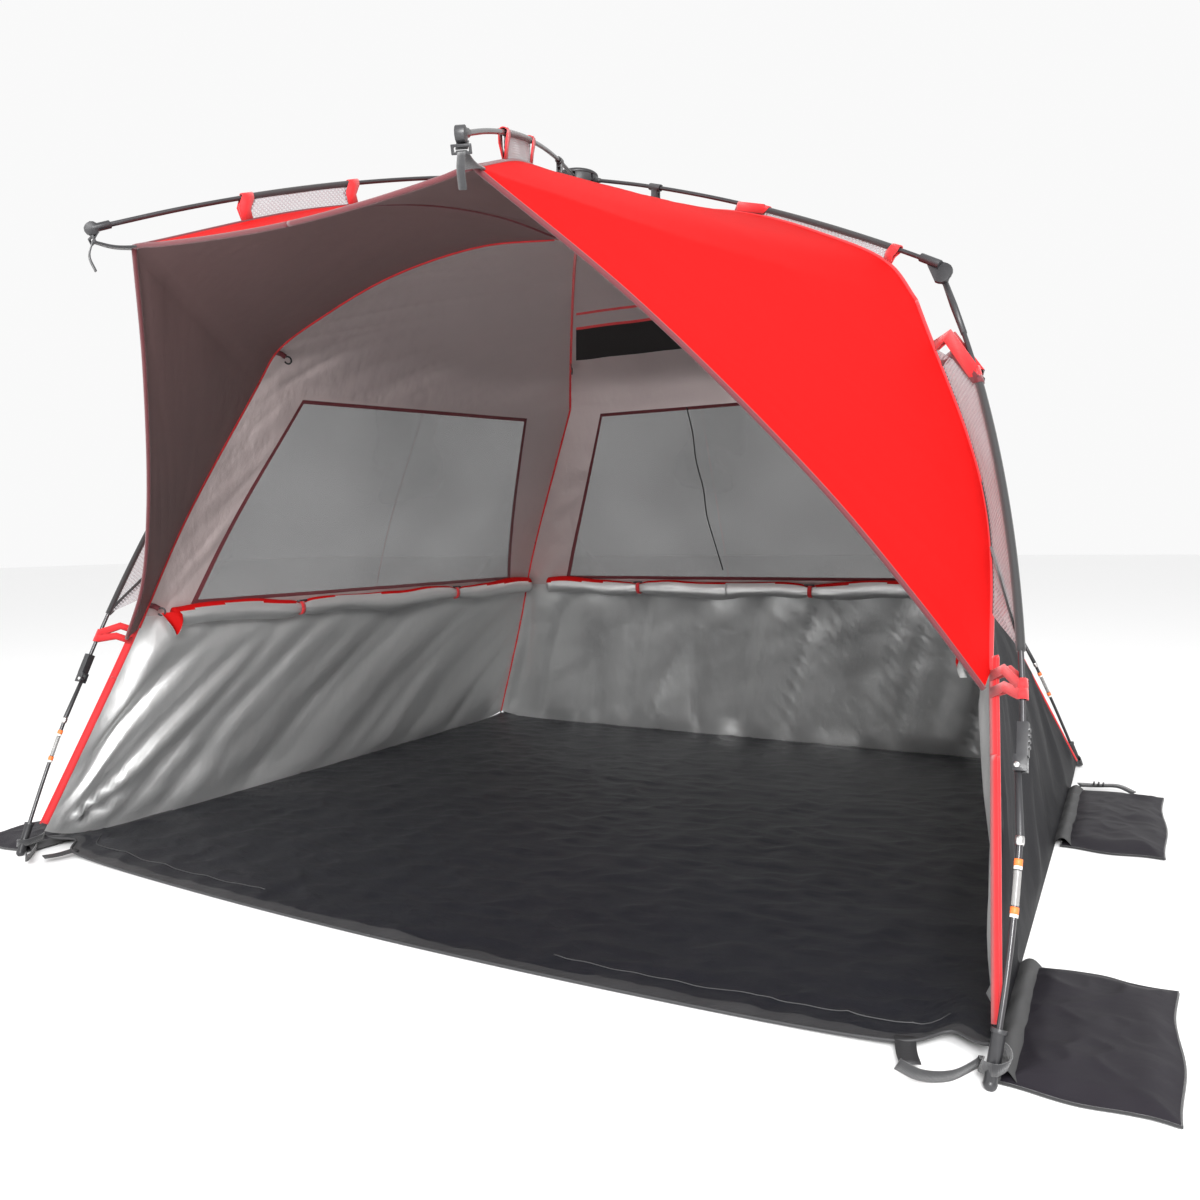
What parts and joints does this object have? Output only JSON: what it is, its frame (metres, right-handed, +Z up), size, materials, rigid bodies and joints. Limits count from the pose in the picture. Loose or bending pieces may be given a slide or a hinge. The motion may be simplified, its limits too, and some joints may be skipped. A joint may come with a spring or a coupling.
{
  "type": "pop up tent",
  "caption": "Open-fronted pop up beach tent: umbrella hub, folding ribs and legs, curved awning, walls with windows, floor sheet and sand pockets.",
  "frame": {"origin": "middle of the floor sheet, on the ground", "axes": "+Z up, +Y towards the rear wall, +X to the right of someone looking in through the open front (-Y)"},
  "size_m": [2.668, 2.3258, 1.6769],
  "materials": {
    "red_fabric": "matte coated woven polyester, silver coated on the inside",
    "silver_fabric": "silver coated woven polyester, satin",
    "black_fabric": "woven polyethylene sheet, slightly glossy",
    "grey_mesh": "fine knitted mesh",
    "rod": "satin coated tube",
    "steel_wire": "drawn wire",
    "black_plastic": "moulded nylon, satin"
  },
  "bodies": {
    "floor": {"floor_sheet": "black_fabric"},
    "hub": {"hub_body": "black_plastic", "hub_cap": "black_plastic", "hub_wire": "steel_wire", "awning_front": "red_fabric", "awning_right": "red_fabric", "awning_left": "red_fabric", "wall_right": "silver_fabric", "wall_left": "silver_fabric", "wall_rear": "silver_fabric", "flap_roll_right": "silver_fabric", "flap_roll_left": "silver_fabric", "flap_roll_rear": "silver_fabric"},
    "runner": {"runner": "black_plastic"},
    "rib_front_right": {"rib_front_right": "rod", "collar_front_right": "black_plastic", "elbow_front_right": "black_plastic"},
    "strut_front_right": {"strut_front_right": "black_plastic"},
    "leg_upper_front_right": {"leg_upper_front_right": "rod", "latch_front_right": "black_plastic"},
    "leg_lower_front_right": {"leg_lower_front_right": "rod", "foot_front_right": "black_plastic"},
    "rib_front_left": {"rib_front_left": "rod", "collar_front_left": "black_plastic", "elbow_front_left": "black_plastic"},
    "strut_front_left": {"strut_front_left": "black_plastic"},
    "leg_upper_front_left": {"leg_upper_front_left": "rod", "latch_front_left": "black_plastic"},
    "leg_lower_front_left": {"leg_lower_front_left": "rod", "foot_front_left": "black_plastic"},
    "rib_rear_right": {"rib_rear_right": "rod", "collar_rear_right": "black_plastic", "elbow_rear_right": "black_plastic"},
    "strut_rear_right": {"strut_rear_right": "black_plastic"},
    "leg_upper_rear_right": {"leg_upper_rear_right": "rod", "latch_rear_right": "black_plastic"},
    "leg_lower_rear_right": {"leg_lower_rear_right": "rod", "foot_rear_right": "black_plastic"},
    "rib_rear_left": {"rib_rear_left": "rod", "collar_rear_left": "black_plastic", "elbow_rear_left": "black_plastic"},
    "strut_rear_left": {"strut_rear_left": "black_plastic"},
    "leg_upper_rear_left": {"leg_upper_rear_left": "rod", "latch_rear_left": "black_plastic"},
    "leg_lower_rear_left": {"leg_lower_rear_left": "rod", "foot_rear_left": "black_plastic"},
    "rib_awning_right": {"rib_awning_right": "rod", "collar_awning_right": "black_plastic", "tip_cap_right": "black_plastic", "buckle_right": "black_plastic"},
    "strut_awning_right": {"strut_awning_right": "black_plastic"},
    "rib_awning_left": {"rib_awning_left": "rod", "collar_awning_left": "black_plastic", "tip_cap_left": "black_plastic", "buckle_left": "black_plastic"},
    "strut_awning_left": {"strut_awning_left": "black_plastic"},
    "floor_side_right": {"sand_pocket_front_right": "black_fabric", "sand_pocket_rear_right": "black_fabric"},
    "floor_side_left": {"sand_pocket_front_left": "black_fabric", "sand_pocket_rear_left": "black_fabric"}
  },
  "joints": [
    {"name": "rib_hinge_front_right", "type": "hinge", "parent": "hub", "child": "rib_front_right", "pos_m": [0.04336, -0.22503, 1.645], "axis": [0.2672, 0.9636, 0], "range_deg": [0, 64.5], "deforming": ["awning_front", "awning_right", "awning_left", "wall_right", "wall_left", "wall_rear", "floor_sheet", "flap_roll_right", "flap_roll_left", "flap_roll_rear", "sand_pocket_front_right", "sand_pocket_rear_right", "sand_pocket_front_left", "sand_pocket_rear_left"]},
    {"name": "strut_hinge_front_right", "type": "hinge", "parent": "rib_front_right", "child": "strut_front_right", "pos_m": [0.25247, -0.28302, 1.54797], "axis": [-0.2672, -0.9636, 0], "range_deg": [0, 169.52]},
    {"name": "elbow_front_right", "type": "hinge", "parent": "rib_front_right", "child": "leg_upper_front_right", "pos_m": [0.93508, -0.46662, 1.22955], "axis": [-0.0686, -0.9075, 0.4145], "range_deg": [0, 51.08]},
    {"name": "latch_front_right", "type": "hinge", "parent": "leg_upper_front_right", "child": "leg_lower_front_right", "pos_m": [1.1154, -0.86618, 0.40663], "axis": [0.0686, 0.9075, -0.4145], "range_deg": [0, 160]},
    {"name": "rib_hinge_rear_right", "type": "hinge", "parent": "hub", "child": "rib_rear_right", "pos_m": [0.02385, -0.17484, 1.645], "axis": [-0.848, 0.5299, 0], "range_deg": [0, 64.5]},
    {"name": "strut_hinge_rear_right", "type": "hinge", "parent": "rib_rear_right", "child": "strut_rear_right", "pos_m": [0.13884, 0.00919, 1.54797], "axis": [0.848, -0.5299, 0], "range_deg": [0, 169.52]},
    {"name": "elbow_rear_right", "type": "hinge", "parent": "rib_rear_right", "child": "leg_upper_rear_right", "pos_m": [0.50619, 0.61359, 1.23068], "axis": [0.8713, -0.4064, 0.2751], "range_deg": [0, 35.25]},
    {"name": "latch_rear_right", "type": "hinge", "parent": "leg_upper_rear_right", "child": "leg_lower_rear_right", "pos_m": [0.93067, 0.95722, 0.42573], "axis": [-0.8713, 0.4064, -0.2751], "range_deg": [0, 160]},
    {"name": "rib_hinge_awning_right", "type": "hinge", "parent": "hub", "child": "rib_awning_right", "pos_m": [0.01649, -0.25487, 1.645], "axis": [0.9304, 0.3665, 0], "range_deg": [0, 67.13]},
    {"name": "strut_hinge_awning_right", "type": "hinge", "parent": "rib_awning_right", "child": "strut_awning_right", "pos_m": [0.09896, -0.46421, 1.5801], "axis": [-0.9304, -0.3665, 0], "range_deg": [0, 156.92]},
    {"name": "rib_hinge_front_left", "type": "hinge", "parent": "hub", "child": "rib_front_left", "pos_m": [-0.04336, -0.22503, 1.645], "axis": [0.2672, -0.9636, 0], "range_deg": [0, 64.5]},
    {"name": "strut_hinge_front_left", "type": "hinge", "parent": "rib_front_left", "child": "strut_front_left", "pos_m": [-0.25247, -0.28302, 1.54797], "axis": [-0.2672, 0.9636, 0], "range_deg": [0, 169.52]},
    {"name": "elbow_front_left", "type": "hinge", "parent": "rib_front_left", "child": "leg_upper_front_left", "pos_m": [-0.93508, -0.46662, 1.22955], "axis": [-0.0686, 0.9075, -0.4145], "range_deg": [0, 51.08]},
    {"name": "latch_front_left", "type": "hinge", "parent": "leg_upper_front_left", "child": "leg_lower_front_left", "pos_m": [-1.1154, -0.86618, 0.40663], "axis": [0.0686, -0.9075, 0.4145], "range_deg": [0, 160]},
    {"name": "rib_hinge_rear_left", "type": "hinge", "parent": "hub", "child": "rib_rear_left", "pos_m": [-0.02385, -0.17484, 1.645], "axis": [-0.848, -0.5299, 0], "range_deg": [0, 64.5]},
    {"name": "strut_hinge_rear_left", "type": "hinge", "parent": "rib_rear_left", "child": "strut_rear_left", "pos_m": [-0.13884, 0.00919, 1.54797], "axis": [0.848, 0.5299, 0], "range_deg": [0, 169.52]},
    {"name": "elbow_rear_left", "type": "hinge", "parent": "rib_rear_left", "child": "leg_upper_rear_left", "pos_m": [-0.50619, 0.61359, 1.23068], "axis": [0.8713, 0.4064, -0.2751], "range_deg": [0, 35.25]},
    {"name": "latch_rear_left", "type": "hinge", "parent": "leg_upper_rear_left", "child": "leg_lower_rear_left", "pos_m": [-0.93067, 0.95722, 0.42573], "axis": [-0.8713, -0.4064, 0.2751], "range_deg": [0, 160]},
    {"name": "rib_hinge_awning_left", "type": "hinge", "parent": "hub", "child": "rib_awning_left", "pos_m": [-0.01649, -0.25487, 1.645], "axis": [0.9304, -0.3665, 0], "range_deg": [0, 67.13]},
    {"name": "strut_hinge_awning_left", "type": "hinge", "parent": "rib_awning_left", "child": "strut_awning_left", "pos_m": [-0.09896, -0.46421, 1.5801], "axis": [-0.9304, 0.3665, 0], "range_deg": [0, 156.92]},
    {"name": "runner_slide", "type": "slide", "parent": "hub", "child": "runner", "axis": [0, 0, -1], "range_m": [0, 0.3855]},
    {"name": "hub_rise", "type": "slide", "parent": "floor", "child": "hub", "axis": [0, 0, 1], "range_m": [0, 0.37]},
    {"name": "floor_gather_right", "type": "hinge", "parent": "floor", "child": "floor_side_right", "pos_m": [0.74, -0.213, 0.74], "axis": [0, 1, 0], "range_deg": [0, 90]},
    {"name": "floor_gather_left", "type": "hinge", "parent": "floor", "child": "floor_side_left", "pos_m": [-0.74, -0.213, 0.74], "axis": [0, -1, 0], "range_deg": [0, 90]}
  ],
  "couplings": [
    {"joint": "strut_hinge_front_right", "follows": "rib_hinge_front_right", "ratio": 2.6282},
    {"joint": "elbow_front_right", "follows": "rib_hinge_front_right", "ratio": 0.79186},
    {"joint": "latch_front_right", "follows": "rib_hinge_front_right", "ratio": 2.4806},
    {"joint": "rib_hinge_rear_right", "follows": "rib_hinge_front_right", "ratio": 1},
    {"joint": "strut_hinge_rear_right", "follows": "rib_hinge_front_right", "ratio": 2.6282},
    {"joint": "elbow_rear_right", "follows": "rib_hinge_front_right", "ratio": 0.5465},
    {"joint": "latch_rear_right", "follows": "rib_hinge_front_right", "ratio": 2.4806},
    {"joint": "rib_hinge_awning_right", "follows": "rib_hinge_front_right", "ratio": 1.0408},
    {"joint": "strut_hinge_awning_right", "follows": "rib_hinge_front_right", "ratio": 2.4329},
    {"joint": "rib_hinge_front_left", "follows": "rib_hinge_front_right", "ratio": 1},
    {"joint": "strut_hinge_front_left", "follows": "rib_hinge_front_right", "ratio": 2.6282},
    {"joint": "elbow_front_left", "follows": "rib_hinge_front_right", "ratio": 0.79186},
    {"joint": "latch_front_left", "follows": "rib_hinge_front_right", "ratio": 2.4806},
    {"joint": "rib_hinge_rear_left", "follows": "rib_hinge_front_right", "ratio": 1},
    {"joint": "strut_hinge_rear_left", "follows": "rib_hinge_front_right", "ratio": 2.6282},
    {"joint": "elbow_rear_left", "follows": "rib_hinge_front_right", "ratio": 0.5465},
    {"joint": "latch_rear_left", "follows": "rib_hinge_front_right", "ratio": 2.4806},
    {"joint": "rib_hinge_awning_left", "follows": "rib_hinge_front_right", "ratio": 1.0408},
    {"joint": "strut_hinge_awning_left", "follows": "rib_hinge_front_right", "ratio": 2.4329},
    {"joint": "runner_slide", "follows": "rib_hinge_front_right", "m_per_rad": 0.34244},
    {"joint": "hub_rise", "follows": "rib_hinge_front_right", "m_per_rad": 0.32867},
    {"joint": "floor_gather_right", "follows": "rib_hinge_front_right", "ratio": 1.3953},
    {"joint": "floor_gather_left", "follows": "rib_hinge_front_right", "ratio": 1.3953}
  ]
}
